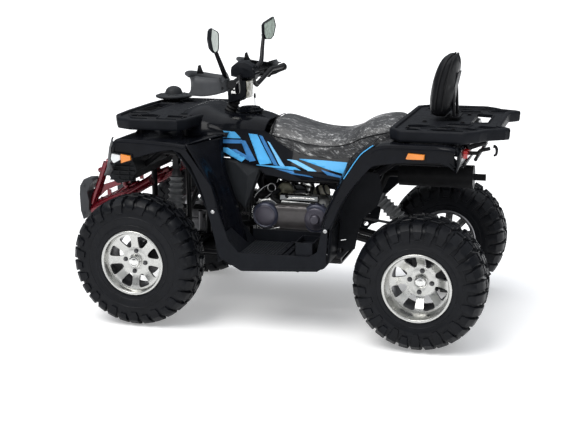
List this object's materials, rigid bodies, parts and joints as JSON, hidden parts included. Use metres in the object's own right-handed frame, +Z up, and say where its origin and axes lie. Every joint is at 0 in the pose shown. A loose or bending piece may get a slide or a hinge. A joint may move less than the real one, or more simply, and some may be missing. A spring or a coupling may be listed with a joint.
{
  "type": "quad bike",
  "caption": "Utility quad bike with knobbly tyres on slotted rims, front and rear racks, open belt-drive engine, moulded seat and a padded backrest.",
  "frame": {"origin": "on the ground under the middle of the bounding box", "axes": "+X forward, +Y to the rider's left, +Z up"},
  "size_m": [1.935, 1.046, 1.2968],
  "materials": {
    "black_gloss": "glossy black bodywork",
    "dark_plastic": "matt dark grey moulded plastic",
    "frame_black": "satin black paint",
    "bumper_red": "glossy deep red paint",
    "tyre_rubber": "black rubber",
    "rim_alloy": "machined alloy",
    "engine_alloy": "cast alloy",
    "cover_blue": "dark blue-grey paint",
    "steel": "machined steel",
    "exhaust_black": "heat-proof dark grey",
    "seat_vinyl": "black vinyl under clear film",
    "pad_vinyl": "black vinyl with piping",
    "lamp_clear": "clear lens",
    "lamp_amber": "amber lens",
    "lamp_red": "red lens",
    "rubber_black": "ribbed rubber",
    "bar_steel": "satin black tube",
    "mirror_black": "black moulded shell",
    "shock_grey": "ribbed sleeve"
  },
  "bodies": {
    "chassis": {"frame": "frame_black", "skid_plate": "frame_black", "engine": "engine_alloy", "belt_cover": "cover_blue", "intake": "dark_plastic", "exhaust": "exhaust_black", "drive_chain": "steel", "front_fender": "black_gloss", "nose_fascia": "dark_plastic", "headlamps": "lamp_clear", "indicators": "lamp_amber", "front_bumper": "bumper_red", "bumper_caps": "dark_plastic", "front_rack": "dark_plastic", "tank_cover": "black_gloss", "fuel_cap": "dark_plastic", "side_panels": "black_gloss", "lower_panels": "dark_plastic", "seat": "seat_vinyl", "rear_fender": "black_gloss", "tail_lamps": "lamp_red", "rear_rack": "dark_plastic", "backrest_bracket": "frame_black", "backrest_pad": "pad_vinyl", "grab_bar": "frame_black", "footwell_left": "dark_plastic", "footwell_right": "dark_plastic", "swing_arm": "frame_black", "shock_absorbers": "shock_grey", "front_arms": "frame_black"},
    "steering": {"steering_column": "steel", "handlebar": "bar_steel", "grips": "rubber_black", "hand_guards": "dark_plastic", "controls": "rubber_black", "instrument_pod": "dark_plastic", "mirrors": "mirror_black"},
    "tie_rod_l": {"tie_rod_left": "steel"},
    "tie_rod_r": {"tie_rod_right": "steel"},
    "knuckle_l": {"knuckle_left": "frame_black"},
    "knuckle_r": {"knuckle_right": "frame_black"},
    "wheel_front_l": {"tyre_front_left": "tyre_rubber", "rim_front_left": "rim_alloy"},
    "wheel_front_r": {"tyre_front_right": "tyre_rubber", "rim_front_right": "rim_alloy"},
    "axle_rear": {"rear_axle": "steel", "rear_tyres": "tyre_rubber", "rear_rims": "rim_alloy"}
  },
  "joints": [
    {"name": "steer", "type": "hinge", "parent": "chassis", "child": "steering", "pos_m": [0.555, 0, 0.33], "axis": [-0.3924, 0, 0.9198], "range_deg": [-30, 30]},
    {"name": "knuckle_left_turn", "type": "hinge", "parent": "chassis", "child": "knuckle_l", "pos_m": [0.599, 0.35, 0.213], "axis": [-0.0589, -0.0884, 0.9943], "range_deg": [-31, 31]},
    {"name": "knuckle_right_turn", "type": "hinge", "parent": "chassis", "child": "knuckle_r", "pos_m": [0.599, -0.35, 0.213], "axis": [-0.0589, 0.0884, 0.9943], "range_deg": [-31, 31]},
    {"name": "tie_rod_left_pivot", "type": "hinge", "parent": "steering", "child": "tie_rod_l", "pos_m": [0.59947, 0.018, 0.38376], "axis": [-0.3924, 0, 0.9198], "range_deg": [-31, 31]},
    {"name": "tie_rod_right_pivot", "type": "hinge", "parent": "steering", "child": "tie_rod_r", "pos_m": [0.59947, -0.018, 0.38376], "axis": [-0.3924, 0, 0.9198], "range_deg": [-31, 31]},
    {"name": "wheel_front_left_spin", "type": "hinge", "parent": "knuckle_l", "child": "wheel_front_l", "pos_m": [0.595, 0.416, 0.288], "axis": [0, 1, 0], "continuous": true},
    {"name": "wheel_front_right_spin", "type": "hinge", "parent": "knuckle_r", "child": "wheel_front_r", "pos_m": [0.595, -0.416, 0.288], "axis": [0, 1, 0], "continuous": true},
    {"name": "axle_rear_spin", "type": "hinge", "parent": "chassis", "child": "axle_rear", "pos_m": [-0.645, 0, 0.275], "axis": [0, 1, 0], "continuous": true}
  ],
  "couplings": [
    {"joint": "knuckle_left_turn", "follows": "steer", "ratio": 1},
    {"joint": "knuckle_right_turn", "follows": "steer", "ratio": 1},
    {"joint": "tie_rod_left_pivot", "follows": "steer", "ratio": -1},
    {"joint": "tie_rod_right_pivot", "follows": "steer", "ratio": -1}
  ]
}
